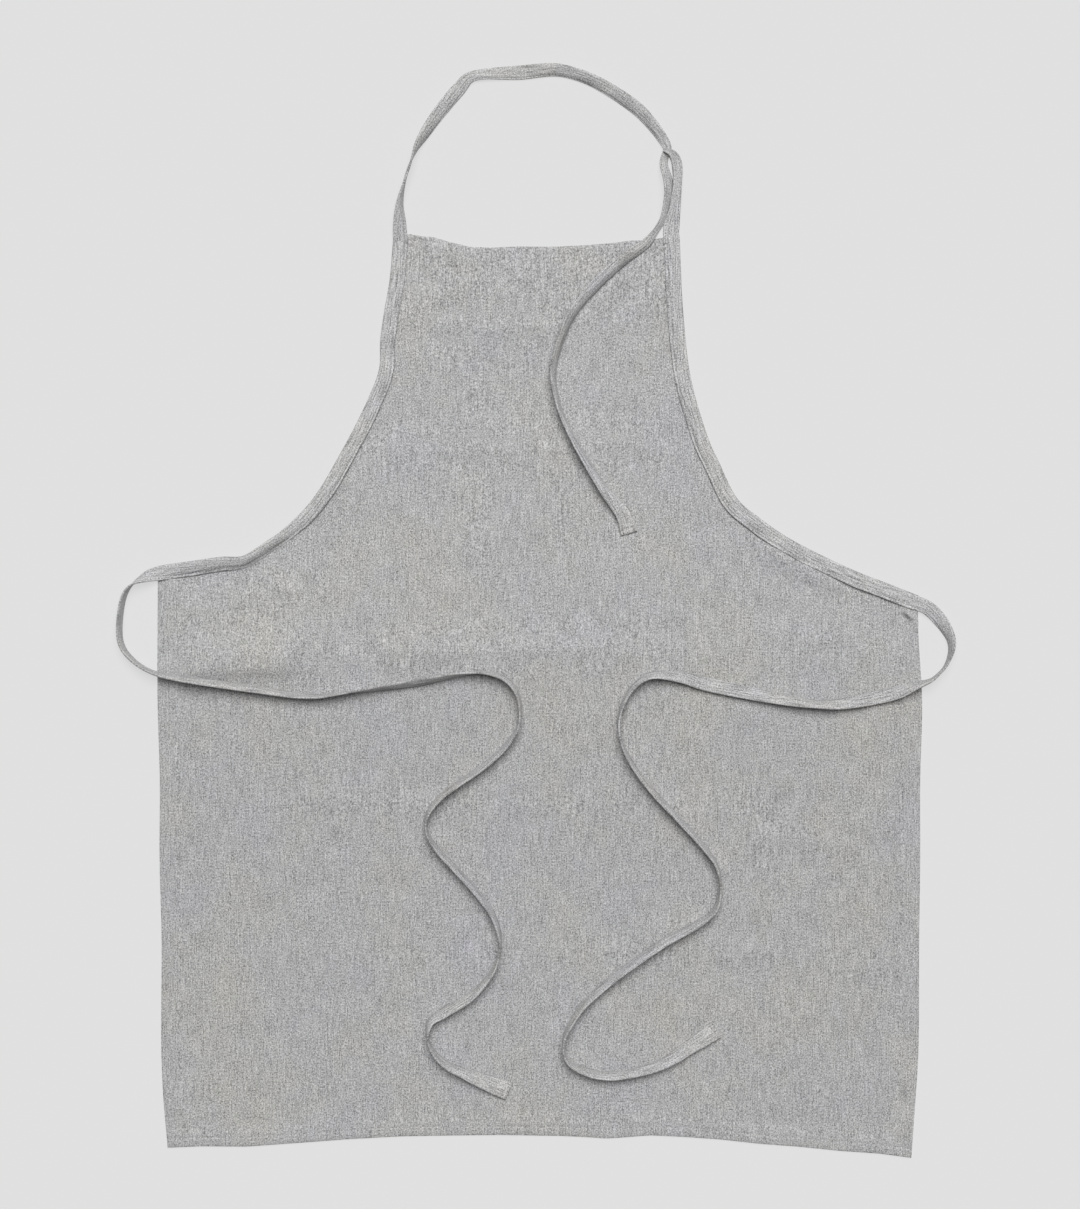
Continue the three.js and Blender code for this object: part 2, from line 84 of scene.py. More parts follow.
# How far the bottom and the top edge lie above the line between their corners, or below it
BOTTOM_BOW = [
    (-0.3488, 0), (-0.318, 0.0018), (-0.275, 0.0021), (-0.222, 0.0066), (-0.178, 0.0105),
    (-0.131, 0.0137), (-0.093, 0.0149), (-0.037, 0.0163), (0.02, 0.0162), (0.048, 0.0152),
    (0.062, 0.0143), (0.076, 0.0152), (0.104, 0.0179), (0.133, 0.017), (0.17, 0.015),
    (0.208, 0.0113), (0.245, 0.009), (0.283, 0.0056), (0.32, 0.0036), (0.3497, 0),
]
TOP_SAG = [
    (-0.1355, 0.0015), (-0.12, 0.0011), (-0.108, -0.0009), (-0.0993, -0.0014), (-0.093, -0.0034),
    (-0.0837, -0.0063), (-0.0743, -0.0082), (-0.0649, -0.0107), (-0.046, -0.0114), (-0.018, -0.0102),
    (0.0103, -0.0106), (0.0385, -0.0094), (0.0667, -0.0073), (0.0855, -0.0048), (0.1, -0.0045),
    (0.1306, 0),
]


def at(x, y, tilt, least=0.0, width=TAPE, bend=0.0):
    """A point of a tape's route. tilt rolls the tape about its length, in degrees: 0 lies flat, 90 stands
    on edge and 180 lies on its other face. Above 0 lifts the edge to the left of the way it runs, and
    below 0 the edge to the right. least is the lowest height that its lower edge may rest at there, and
    bend is how far it is arched across its width, in radians."""
    return (x, y, tilt, least, width, bend)


NECK_STRAP = [
    at(-0.1305, 0.3938, 0),
    at(-0.1294, 0.4171, 56),
    at(-0.1283, 0.4265, 78, bend=1.2),
    at(-0.1250, 0.4452, 100, bend=1.0),
    at(-0.1213, 0.4589, 102),
    at(-0.1156, 0.4715, 88, bend=0.8),
    at(-0.1096, 0.4820, 56),
    at(-0.0969, 0.5023, 32),
    at(-0.0825, 0.5214, 20),
    at(-0.0750, 0.5305, 18),
    at(-0.0676, 0.5398, -6, width=0.0112),
    at(-0.0616, 0.5428, -14, width=0.0098),
    at(-0.0500, 0.5446, -11, width=0.0105),
    at(-0.0192, 0.5459, 4),
    at(0.0164, 0.5477, 26, width=0.0128),
    at(0.0392, 0.5421, 30, width=0.0123),
    at(0.0609, 0.5321, 26, width=0.0128),
    at(0.0910, 0.5119, 24),
    at(0.1043, 0.4983, 32, width=0.0125),
    at(0.1165, 0.4828, 18, width=0.0100),
    at(0.1206, 0.4740, 2, least=0.0019, width=0.0082),
    at(0.1187, 0.4682, -4, least=0.0012, width=0.0058),
    at(0.1173, 0.4613, -40, width=0.0088),
    at(0.1213, 0.4454, -46, width=0.0132, bend=-0.7),
    at(0.1222, 0.4340, -50, bend=-0.8),
    at(0.1211, 0.4237, -58, bend=-0.7),
    at(0.1177, 0.4100, -50, width=0.0085),
    at(0.1106, 0.3981, -16, width=0.0050),
    at(0.1000, 0.3845, -30, width=0.0105),
    at(0.0797, 0.3690, -38, bend=0.7),
    at(0.0448, 0.3354, -38, bend=0.7),
    at(0.0310, 0.3163, -60),
    at(0.0220, 0.2962, -66),
    at(0.0143, 0.2660, -69),
    at(0.0174, 0.2388, -76),
    at(0.0283, 0.2104, -70),
    at(0.0589, 0.1585, -52),
    at(0.0788, 0.1309, -12, width=0.0145),
    at(0.0846, 0.1130, 0, width=0.0160),
]
LEFT_WAIST_TIE = [
    at(-0.3585, 0.0752, 0),
    at(-0.3634, 0.0746, 12),
    at(-0.3698, 0.0729, 44),
    at(-0.3773, 0.0690, 80),
    at(-0.3853, 0.0609, 100),
    at(-0.3900, 0.0493, 102),
    at(-0.3927, 0.0170, 103),
    at(-0.3890, 0.0045, 102),
    at(-0.3801, -0.0059, 99),
    at(-0.3686, -0.0138, 97),
    at(-0.3560, -0.0186, 100),
    at(-0.3371, -0.0217, 114),
    at(-0.2713, -0.0312, 120),
    at(-0.2135, -0.0392, 104),
    at(-0.1826, -0.0367, 92),
    at(-0.1164, -0.0284, 58),
    at(-0.0665, -0.0186, 84),
    at(-0.0484, -0.0174, 100),
    at(-0.0311, -0.0230, 108),
    at(-0.0201, -0.0361, 106),
    at(-0.0175, -0.0540, 94),
    at(-0.0210, -0.0703, 82),
    at(-0.0318, -0.0858, 72),
    at(-0.0516, -0.1039, 68),
    at(-0.0957, -0.1365, 70),
    at(-0.1060, -0.1534, 80),
    at(-0.1053, -0.1663, 92),
    at(-0.0964, -0.1809, 106),
    at(-0.0540, -0.2277, 112),
    at(-0.0398, -0.2512, 106),
    at(-0.0362, -0.2745, 94),
    at(-0.0433, -0.2955, 76),
    at(-0.0626, -0.3189, 62),
    at(-0.0880, -0.3347, 46),
    at(-0.1024, -0.3441, 60),
    at(-0.1052, -0.3575, 86),
    at(-0.0990, -0.3721, 100),
    at(-0.0863, -0.3845, 112),
    at(-0.0676, -0.3934, 132),
    at(-0.0282, -0.4110, 180, width=0.0175),
]
RIGHT_WAIST_TIE = [
    at(0.3588, 0.0459, 0),
    at(0.3632, 0.0441, 0),
    at(0.3712, 0.0376, 6),
    at(0.3779, 0.0289, 22),
    at(0.3828, 0.0197, 46),
    at(0.3856, 0.0122, 64),
    at(0.3860, 0.0027, 80),
    at(0.3809, -0.0119, 92),
    at(0.3752, -0.0182, 94),
    at(0.3681, -0.0239, 90),
    at(0.3516, -0.0289, 58),
    at(0.3369, -0.0354, 22),
    at(0.3186, -0.0404, 8),
    at(0.2808, -0.0461, 42),
    at(0.2625, -0.0462, 64),
    at(0.2248, -0.0412, 34),
    at(0.1531, -0.0273, 10),
    at(0.1362, -0.0217, 38),
    at(0.1053, -0.0192, 66),
    at(0.0904, -0.0278, 72),
    at(0.0799, -0.0430, 80),
    at(0.0748, -0.0625, 88),
    at(0.0768, -0.0798, 94),
    at(0.0855, -0.0991, 104),
    at(0.1038, -0.1243, 112),
    at(0.1541, -0.1797, 108),
    at(0.1674, -0.1996, 100),
    at(0.1701, -0.2210, 92),
    at(0.1638, -0.2404, 76),
    at(0.1449, -0.2544, 64),
    at(0.1158, -0.2703, 58),
    at(0.0514, -0.3188, 66),
    at(0.0302, -0.3446, 74),
    at(0.0226, -0.3670, 87),
    at(0.0280, -0.3815, 104),
    at(0.0450, -0.3910, 116),
    at(0.0685, -0.3945, 119),
    at(0.1166, -0.3831, 134),
    at(0.1408, -0.3690, 158),
    at(0.1664, -0.3531, 176, width=0.0172),
]

# The neck loop's tape: up from the bib, over the strap, under it, and down again behind itself.
# Its place and height, the way across it as seen from above in degrees, and its width.
NECK_LOOP = [
    (0.1239, 0.3850, 0.0024, 180, 0.0142),
    (0.1239, 0.3927, 0.0024, 180, 0.0148),
    (0.1243, 0.4030, 0.0024, 180, 0.0154),
    (0.1264, 0.4124, 0.0036, 180, 0.0120),
    (0.1281, 0.4218, 0.0048, 180, 0.0099),
    (0.1290, 0.4312, 0.0054, 180, 0.0089),
    (0.1300, 0.4406, 0.0054, 181, 0.0082),
    (0.1302, 0.4500, 0.0052, 183, 0.0086),
    (0.1300, 0.4566, 0.0050, 187, 0.0097),
    (0.1288, 0.4622, 0.0052, 198, 0.0099),
    (0.1274, 0.4665, 0.0064, 216, 0.0090),
    (0.1250, 0.4693, 0.0078, 236, 0.0073),
    (0.1222, 0.4709, 0.0084, 246, 0.0054),
    (0.1194, 0.4719, 0.0080, 250, 0.0038),
    (0.1172, 0.4725, 0.0064, 254, 0.0030),
    (0.1163, 0.4727, 0.0028, 255, 0.0028),
    (0.1170, 0.4725, 0.0013, 254, 0.0030),
    (0.1194, 0.4719, 0.0009, 250, 0.0038),
    (0.1235, 0.4700, 0.0009, 240, 0.0058),
    (0.1280, 0.4640, 0.0009, 205, 0.0080),
    (0.1296, 0.4540, 0.0009, 186, 0.0084),
    (0.1298, 0.4406, 0.0009, 181, 0.0080),
    (0.1288, 0.4312, 0.0009, 180, 0.0086),
    (0.1279, 0.4218, 0.0009, 180, 0.0096),
    (0.1262, 0.4124, 0.0009, 180, 0.0116),
    (0.1241, 0.4030, 0.0009, 180, 0.0146),
    (0.1239, 0.3940, 0.0009, 180, 0.0146),
]

# Folds and dents in the cloth: the two ends, how far the slope reaches to the left and to the right of
# the way between them, the height, and the power of the slope's fall. A sharp one is a pressed crease.
SHARP = 1.0
SOFT = 2.0
FOLDS = [
    (-0.178, 0.1915, 0.142, 0.1925, 0.020, 0.012, 0.0018, SHARP),
    (-0.150, 0.003, 0.100, 0.004, 0.012, 0.010, 0.0022, SHARP),
    (-0.318, 0.002, 0.189, 0.004, 0.014, 0.012, 0.0008, SHARP),
    (-0.330, -0.142, 0.330, -0.142, 0.012, 0.012, 0.0005, SHARP),
    (-0.330, -0.284, 0.330, -0.281, 0.012, 0.012, 0.0005, SHARP),
    (-0.057, 0.304, -0.057, 0.013, 0.010, 0.010, 0.0006, SHARP),
    (0.012, 0.250, 0.030, 0.010, 0.012, 0.012, 0.0004, SHARP),
    (-0.115, 0.3065, 0.010, 0.3065, 0.010, 0.016, 0.0015, SHARP),
    (0.2810, 0.0638, 0.2130, 0.0998, 0.012, 0.005, 0.0034, SOFT),
    (-0.330, -0.0152, -0.222, -0.0130, 0.030, 0.0078, 0.0064, SOFT),
    (-0.347, 0.044, -0.200, 0.066, 0.016, 0.012, 0.0016, SOFT),
    (-0.104, 0.306, -0.082, 0.305, 0.007, 0.007, 0.0008, SOFT),
    (-0.042, 0.278, -0.014, 0.276, 0.007, 0.007, 0.0009, SOFT),
    (-0.034, 0.338, -0.012, 0.337, 0.007, 0.007, 0.0008, SOFT),
    (0.236, 0.012, 0.274, 0.008, 0.010, 0.010, 0.0010, SOFT),
    (0.208, -0.175, 0.264, -0.176, 0.012, 0.012, 0.0010, SOFT),
    (0.203, -0.203, 0.227, -0.222, 0.010, 0.010, 0.0010, SOFT),
    (0.264, -0.292, 0.349, -0.293, 0.012, 0.012, 0.0010, SOFT),
    (0.259, -0.410, 0.274, -0.434, 0.010, 0.010, 0.0010, SOFT),
    (-0.351, -0.410, -0.319, -0.410, 0.010, 0.010, 0.0010, SOFT),
]
# Small pleats in the sewn edges
PLEATS = [
    (0.3430, 0.0405, 0.3565, 0.0280, 0.0030, 0.0025, 0.0042, SOFT),
    (0.3410, 0.0365, 0.3545, 0.0240, 0.0022, 0.0022, -0.0016, SOFT),
]
# How each binding lies, by the share of its length: how much higher its inner lip is, and then how far
# its outer side rolls up and the share by which that draws it in. The left one runs up from the side
# of the cloth, and the right one down from the top.
LEFT_LIP = [(0, -0.0013), (0.30, -0.0012), (0.36, 0.0002), (0.72, 0.0), (0.80, -0.0009), (1, -0.0012)]
LEFT_ROLL = [
    (0, 0, 0), (0.02, 0, 0), (0.07, 0.0038, 0), (0.15, 0.0046, 0.06),
    (0.20, 0.0056, 0.26), (0.28, 0.0052, 0.24), (0.35, 0.0008, 0.04), (0.40, 0, 0),
]
RIGHT_LIP = [
    (0, -0.0013), (0.25, -0.0013), (0.45, -0.0012), (0.52, -0.0004), (0.64, -0.0004),
    (0.72, 0.0003), (1, 0.0004),
]
RIGHT_ROLL = [(0, 0, 0), (1, 0, 0)]


# Shared shaping

# Steps from one row of a route to the next, before it is read again at an even spacing
FINE_STEPS = 60


def run_along(line):
    """The length of a row of points up to each of them."""
    return np.concatenate([[0], np.cumsum(np.linalg.norm(np.diff(line, axis=0), axis=1))])


def read_at(stops, run, table):
    """The columns of a table, read again at other lengths along it."""
    return np.column_stack([np.interp(stops, run, column) for column in table.T])


def nearest(values, value):
    """Which of a row of values comes closest to one."""
    return int(np.argmin(np.abs(values - value)))


def smooth_route(rows, spacing):
    """The rows of a table laid on one smooth curve and read again at an even spacing, and the curve's
    length up to each. x and y come first in a row."""
    rows = np.array(rows, float)
    spots = rows[:, :2]
    # Time goes by the root of each step, so that the curve makes no loops between uneven steps
    steps = np.sqrt(np.linalg.norm(np.diff(spots, axis=0), axis=1))
    time = np.concatenate([[0], np.cumsum(steps)])
    slope = np.diff(spots, axis=0) / steps[:, None]
    pull = np.empty_like(spots)
    pull[0], pull[-1] = slope[0], slope[-1]
    wide = (spots[2:] - spots[:-2]) / (time[2:] - time[:-2])[:, None]
    pull[1:-1] = slope[:-1] - wide + slope[1:]
    fine = np.linspace(0, time[-1], FINE_STEPS * len(rows))
    left = np.clip(np.searchsorted(time, fine, side="right") - 1, 0, len(rows) - 2)
    span = steps[left][:, None]
    u = ((fine - time[left])[:, None]) / span
    line = (
        (2 * u**3 - 3 * u**2 + 1) * spots[left]
        + (u**3 - 2 * u**2 + u) * span * pull[left]
        + (3 * u**2 - 2 * u**3) * spots[left + 1]
        + (u**3 - u**2) * span * pull[left + 1]
    )
    run = run_along(line)
    count = max(2, round(run[-1] / spacing) + 1)
    even = np.linspace(0, run[-1], count)
    when = np.interp(even, run, fine)
    columns = [read_at(even, run, line)]
    columns += [np.interp(when, time, column) for column in rows[:, 2:].T]
    return np.column_stack(columns), even


def soften(values, reach):
    """A running average that keeps both ends."""
    kernel = np.hanning(2 * reach + 3)[1:-1]
    before = 2 * values[0] - values[reach:0:-1]
    after = 2 * values[-1] - values[-2:-reach - 2:-1]
    padded = np.concatenate([before, values, after])
    return np.convolve(padded, kernel / kernel.sum(), mode="valid")


def ease(values, low, high):
    """0 below low, 1 above high, and smooth between them."""
    share = np.clip((values - low) / (high - low), 0, 1)
    return share * share * (3 - 2 * share)


def waver(xs, ys, size, seed):
    """Slow, even noise from -1 to 1 over a grid of places."""
    flat = [noise.noise(Vector((x / size, y / size, seed))) for x, y in zip(xs.ravel(), ys.ravel())]
    return np.array(flat).reshape(xs.shape)


def directions(line):
    """The way a row of points runs, at each of them."""
    way = np.gradient(line, axis=0)
    return way / np.linalg.norm(way, axis=1)[:, None]


def new_piece(name, verts, faces, uvs=None):
    """A smooth mesh in the scene, with a UV for each place where they are given."""
    mesh = bpy.data.meshes.new(name)
    mesh.from_pydata(verts.tolist(), [], faces)
    if uvs is not None:
        layer = mesh.uv_layers.new(name="weave")
        corners = np.array([v for polygon in mesh.polygons for v in polygon.vertices])
        layer.data.foreach_set("uv", np.asarray(uvs)[corners].ravel())
    mesh.polygons.foreach_set("use_smooth", [True] * len(mesh.polygons))
    piece = bpy.data.objects.new(name, mesh)
    bpy.context.scene.collection.objects.link(piece)
    return piece


def tube_faces(rings, around):
    """Faces of a tube of rings, closed at both ends."""
    faces = []
    for ring in range(rings - 1):
        for k in range(around):
            a, b = ring * around + k, ring * around + (k + 1) % around
            faces.append((a, b, b + around, a + around))
    faces.append(tuple(range(around - 1, -1, -1)))
    faces.append(tuple(range((rings - 1) * around, rings * around)))
    return faces


def swept(name, rings, run, across):
    """A closed band through rings of places. Its UV is in metres across the tape and along it."""
    uvs = np.stack(np.broadcast_arrays(across, run[:, None]), axis=-1)
    faces = tube_faces(len(run), rings.shape[1])
    return new_piece(name, rings.reshape(-1, 3), faces, uvs.reshape(-1, 2))


# Cloth

# Even rows and columns of the cloth's grid
SKIRT_ROWS = 118
BIB_ROWS = 104
OPEN_COLUMNS = 146
# Closer ones, by their distance from an edge
SIDE_LINES = np.array([
    0, 0.0008, 0.002, 0.0045, 0.0075, 0.009, 0.0096, 0.0102, 0.011, 0.0125, 0.0145, 0.0175, 0.0215, 0.026,
])
BOTTOM_LINES = np.array([
    0, 0.0008, 0.002, 0.0045, 0.0068, 0.0076, 0.0082, 0.009, 0.0105, 0.0125, 0.0155, 0.0195,
])
TOP_LINES = np.array([0, 0.0008, 0.0025, 0.006])
# The shares of the skirt and of the bib, going up, that have even rows
OPEN_SKIRT = (0.042, 0.957)
OPEN_BIB = 0.985
# Close rows as shares of the skirt, down from the armholes, and of the bib, about the top hem's stitches
WAIST_LINES = np.arange(0.0015, 0.04, 0.0016)
SEAM_LINES = np.array([-0.0016, 0.0, 0.0016])
# A length down from the top becomes a share of the bib by this, a little more than an armhole's edge
BIB_RUN = 0.47
TOP_SEAM = 1 - TOP_HEM / BIB_RUN
# How the bottom edge's bow fades up the skirt, and where the bib's rows take on the top edge's sag
BOW_POWER = 1.5
SAGGING = (0.6, 1.0)

# How far the cloth slopes down beyond a hem, and the share of the other hems' height that the deep top
# hem lifts it by
HEM_SLOPE = 0.012
TOP_HEM_LIFT = 0.45
TOP_HEM_SLOPE = (TOP_HEM - 0.001, TOP_HEM + 0.006)
# From an armhole's edge: where the cloth in the binding slopes down, and where the top hem's groove and
# its second layer begin
BOUND_SLOPE = (0.0098, 0.0130)
GROOVE_BEGINS = (0.0125, 0.014)
LAYER_BEGINS = 0.016
# The share of the bib over which the side hems end
HEM_ENDS = 0.01
# The share of a hem's height from which its cloth is turned twice, and the lowest the upper face may lie
TURNED_TWICE = 0.98
LOWEST_UPPER = CLOTH + 0.0001
# Slow waves in the cloth: height, size and seed
WAVES = [(0.00035, 0.085, 2.0), (0.00012, 0.03, 7.0)]
# How much of the folds and waves is pressed out where the cloth is sewn
PRESSED_OUT = 0.85
# A groove of stitches, and the fall of the cloth at its edge: depth and reach
GROOVE_DEPTH = 0.0004
GROOVE_REACH = 0.0007
EDGE_FALL = 0.0005
EDGE_REACH = 0.002
# How far a fold fades beyond its ends at most, and the share of its length over which it rises at each
FOLD_OUT = 0.02
FOLD_IN = 0.25


def cloth_grid():
    """Places of the cloth's grid, their distance from the nearer side edge, and their share of the way up
    the bib, which is 0 on the skirt."""
    left_low, right_low, left_high, right_high = (
        smooth_route(edge, spacing=0.001)[0]
        for edge in (LEFT_SIDE, RIGHT_SIDE, LEFT_ARMHOLE, RIGHT_ARMHOLE)
    )
    skirt_length = left_low[-1, 1] - left_low[0, 1]
    even = np.linspace(0, 1, SKIRT_ROWS)
    low_rows = np.sort(np.concatenate([
        BOTTOM_LINES / skirt_length,
        even[(even > OPEN_SKIRT[0]) & (even < OPEN_SKIRT[1])],
        1 - WAIST_LINES,
    ]))
    even = np.linspace(0, 1, BIB_ROWS)[1:]
    high_rows = np.sort(np.concatenate([
        even[even < OPEN_BIB],
        1 - TOP_LINES / BIB_RUN,
        TOP_SEAM + SEAM_LINES,
    ]))

    def row_ends(low_edge, high_edge):
        """Where the rows end on one side: the skirt's edge, and then the bib's."""
        return np.concatenate([
            read_at(rows * (len(edge) - 1), np.arange(len(edge)), edge)
            for edge, rows in ((low_edge, low_rows), (high_edge, high_rows))
        ])

    lefts = row_ends(left_low, left_high)
    rights = row_ends(right_low, right_high)
    bows = np.concatenate([(1 - low_rows) ** BOW_POWER, np.zeros(len(high_rows))])
    ups = np.concatenate([np.zeros(len(low_rows)), high_rows])
    inner = np.linspace(0, 1, OPEN_COLUMNS)[1:-1]
    border = SIDE_LINES[-1]
    grid = []
    for left, right, bow, up in zip(lefts, rights, bows, ups):
        width = right[0] - left[0]
        middle = border + inner * (width - 2 * border)
        offsets = np.concatenate([SIDE_LINES, middle, (width - SIDE_LINES)[::-1]])
        x = left[0] + offsets
        y = left[1] + (right[1] - left[1]) * offsets / width
        y = y + bow * np.interp(x, *zip(*BOTTOM_BOW))
        y = y + ease(up, *SAGGING) * np.interp(x, *zip(*TOP_SAG))
        grid.append((x, y, np.minimum(offsets, width - offsets), np.full_like(x, up)))
    return tuple(np.array(rows) for rows in zip(*grid))


def fold_height(x, y, folds):
    """The height that a table's folds and dents add at each place."""
    height = np.zeros_like(x)
    for x0, y0, x1, y1, reach_left, reach_right, rise, power in folds:
        way = np.array([x1 - x0, y1 - y0])
        length = np.linalg.norm(way)
        way = way / length
        along = (x - x0) * way[0] + (y - y0) * way[1]
        off = (y - y0) * way[0] - (x - x0) * way[1]
        off = np.abs(off) / np.where(off > 0, reach_left, reach_right)
        out = min(FOLD_OUT, length / 3)
        begins = ease(along, -out, FOLD_IN * length)
        ends = 1 - ease(along, (1 - FOLD_IN) * length, length + out)
        height += rise * (begins * ends) * np.exp(-(off**power))
    return height


def armhole_gap(x, y, most=0.05):
    """How far each place is from the nearer armhole edge, up to the most that matters."""
    gap = np.full(x.shape, most)
    for armhole in (LEFT_ARMHOLE, RIGHT_ARMHOLE):
        for spot in smooth_route(armhole, spacing=0.0015)[0]:
            gap = np.minimum(gap, np.hypot(x - spot[0], y - spot[1]))
    return gap


def cloth_heights(x, y, side, up):
    """Upper and lower face of the cloth over its grid."""
    bottom_y = np.interp(x, *zip(*BOTTOM_BOW)) + np.interp(x, *zip(LEFT_SIDE[0], RIGHT_SIDE[0]))
    top_y = LEFT_ARMHOLE[-1][1] + np.interp(x, *zip(*TOP_SAG))
    from_bottom, from_top = y - bottom_y, top_y - y
    on_skirt = 1 - ease(up, 0.0, HEM_ENDS)
    gap = armhole_gap(x, y)
    hem_side = (1 - ease(side, SIDE_HEM, SIDE_HEM + HEM_SLOPE)) * on_skirt
    hem_bottom = 1 - ease(from_bottom, BOTTOM_HEM, BOTTOM_HEM + HEM_SLOPE)
    hem_top = TOP_HEM_LIFT * (1 - ease(from_top, *TOP_HEM_SLOPE))
    bound = 1 - ease(gap, *BOUND_SLOPE)
    lift = np.maximum.reduce([hem_side, hem_bottom, hem_top, bound])
    upper = LYING + (HEMMED - LYING) * lift
    sewn = np.maximum(hem_side, bound)
    slow = sum(high * waver(x, y, size, seed) for high, size, seed in WAVES)
    upper = upper + (fold_height(x, y, FOLDS) + slow) * (1 - PRESSED_OUT * sewn)
    upper = upper + fold_height(x, y, PLEATS) * (1 - bound)
    for distance, groove, inside in (
        (side, SIDE_GROOVE, on_skirt),
        (from_bottom, BOTTOM_GROOVE, 1.0),
        (from_top, TOP_GROOVE, ease(gap, *GROOVE_BEGINS)),
    ):
        upper = upper - inside * GROOVE_DEPTH * np.exp(-(((distance - groove) / GROOVE_REACH) ** 2))
    edge = np.minimum.reduce([side, from_bottom, from_top])
    upper = upper - (1 - bound) * EDGE_FALL * (1 - ease(edge, 0.0, EDGE_REACH))
    upper = np.maximum(upper, LOWEST_UPPER)
    three_layers = np.maximum(hem_side, hem_bottom) > TURNED_TWICE
    two_layers = (from_top < TOP_HEM) & (gap > LAYER_BEGINS)
    layers = np.where(three_layers, 3.0, np.where(two_layers, 2.0, 1.0))
    lower = np.maximum(upper - layers * CLOTH, 0.0)
    return upper, lower


def cloth_piece(x, y, upper, lower):
    """The cloth as one closed sheet: an upper face, a lower face and a rim."""
    rows, columns = x.shape
    count = rows * columns
    verts = np.concatenate([
        np.column_stack([x.ravel(), y.ravel(), upper.ravel()]),
        np.column_stack([x.ravel(), y.ravel(), lower.ravel()]),
    ])
    index = np.arange(count).reshape(rows, columns)
    corners = [index[:-1, :-1], index[:-1, 1:], index[1:, 1:], index[1:, :-1]]
    quads = np.stack(corners, axis=-1).reshape(-1, 4)
    under = quads[:, ::-1] + count
    rim = np.concatenate([index[0, :], index[1:, -1], index[-1, -2::-1], index[-2:0:-1, 0]])
    after = np.roll(rim, -1)
    sides = np.stack([rim, rim + count, after + count, after], axis=-1)
    faces = np.concatenate([quads, under, sides]).tolist()
    return new_piece("cloth", verts, faces)


# Tape

# A folded tape's section: the share across it, to the left, and the half thickness in millimetres.
# It is sewn near its right edge.
TAPE_HALF = [
    (-0.5, 0), (-0.488, 0.55), (-0.452, 0.92), (-0.40, 0.95), (-0.365, 0.80), (-0.34, 0.45),
    (-0.315, 0.78), (-0.26, 0.90), (-0.08, 0.80), (0.15, 0.78), (0.33, 0.88), (0.43, 0.98),
    (0.478, 0.78), (0.496, 0.40), (0.5, 0),
]
TAPE_PROFILE = np.array(
    [(share, -half) for share, half in TAPE_HALF] + [(share, half) for share, half in TAPE_HALF[-2:0:-1]]
)
# Where the stitches lie: the share across, and the millimetres above the middle of the tape
SEAM_ACROSS = -0.34
SEAM_HIGH = 0.5
# How thick a tape is towards its free end, which is turned in and sewn: the distance from the end,
# and a factor
END_HEM = [
    (0, 1.1), (0.0005, 1.7), (0.0026, 1.9), (0.0036, 0.6), (0.0046, 1.4), (0.0092, 1.3), (0.0106, 1.0),
]
END_SEAM = 0.0036
END_SEAM_ACROSS = np.linspace(-0.46, 0.46, 15)
END_SEAM_HIGH = 0.55
# Height of a tape's lower face where it runs on from a binding: inside the fold, then over its end.
# Between these lengths it comes down to what it lies on.
SEWN_IN = [(0, 0.0010), (0.009, 0.0021)]
COMES_DOWN = (0.012, 0.030)
# How far a tape on its edge curls over, and the least curl, in radians
CURL = 1.25
LEAST_CURL = 1e-4
# The loop's tape is pressed thinner: metres for each millimetre of the section, and the stitches' height
LOOP_HALF = 0.0008
LOOP_SEAM_HIGH = 0.0004
LOOP_RINGS = 110
# Length, width and height of a stitch, and from each stitch to the next
STITCH_SIZE = (0.0023, 0.0005, 0.00042)
STITCH_PITCH = 0.0030
# On a stitch 1 long and 1 high: how far out its ends begin, and how far they are pulled down
STITCH_END = 0.3
STITCH_DIP = 0.4


class Surface:
    """What a tape comes to rest on: the floor, and the upper face of the cloth."""

    def __init__(self, x, y, upper):
        self.spots = np.column_stack([x.ravel(), y.ravel()])
        self.heights = upper.ravel()

    def under(self, line, reach=0.0065, clear=0.0002):
        """How high a tape rests along a line: just clear of the cloth within reach, or on the floor."""
        found = []
        for spot in line:
            near = np.abs(self.spots - spot).max(axis=1) < reach
            found.append(self.heights[near].max() + clear if near.any() else 0.0)
        return np.array(found)


def tape_frames(rows, surface, spacing=0.0035, window=3):
    """A tape along its route, with its lower edge at rest: its centres, the way to its left, its tilt,
    width and bend at each of them, and its length up to each."""
    table, run = smooth_route(rows, spacing)
    line = table[:, :2]
    tilt = np.radians(soften(table[:, 2], reach=5))
    least = table[:, 3]
    width = soften(table[:, 4], reach=3)
    bend = soften(table[:, 5], reach=3)
    ground = surface.under(line)
    spread = np.array([ground[max(0, i - window):i + window + 1].max() for i in range(len(ground))])
    rests = np.maximum(soften(spread, reach=4), least)
    sewn = np.interp(run, *zip(*SEWN_IN))
    rests = sewn + (rests - sewn) * ease(run, *COMES_DOWN)
    way = directions(line)
    left = np.column_stack([-way[:, 1], way[:, 0], np.zeros(len(run))])
    lowest = tape_section(left, tilt, width, bend, TAPE_PROFILE)[:, :, 2].min(axis=1)
    centre = np.column_stack([line, rests - lowest])
    stops = np.union1d(run, run[-1] - np.array(END_HEM)[:, 0])
    columns = read_at(stops, run, np.column_stack([centre, left, tilt, width, bend]))
    return columns[:, :3], (columns[:, 3:6], columns[:, 6], columns[:, 7], columns[:, 8]), stops


def tape_section(left, tilt, width, bend, profile, thick=1.0):
    """Places of a section about its centre. A tape that stands on edge curls over at its upper edge."""
    share = profile[None, :, 0]
    half = profile[None, :, 1] * MM * np.reshape(thick, (-1, 1))
    curl = (2 * CURL * np.cos(tilt) * np.abs(np.sin(tilt)) + bend)[:, None]
    curl = np.where(np.abs(curl) < LEAST_CURL, LEAST_CURL, curl)
    turn = tilt[:, None] - curl * share
    along = (np.sin(tilt)[:, None] - np.sin(turn)) / curl * width[:, None]
    rise = (np.cos(turn) - np.cos(tilt)[:, None]) / curl * width[:, None]
    along = along - np.sin(turn) * half
    rise = rise + np.cos(turn) * half
    return left[:, None, :] * along[:, :, None] + UP * rise[:, :, None]


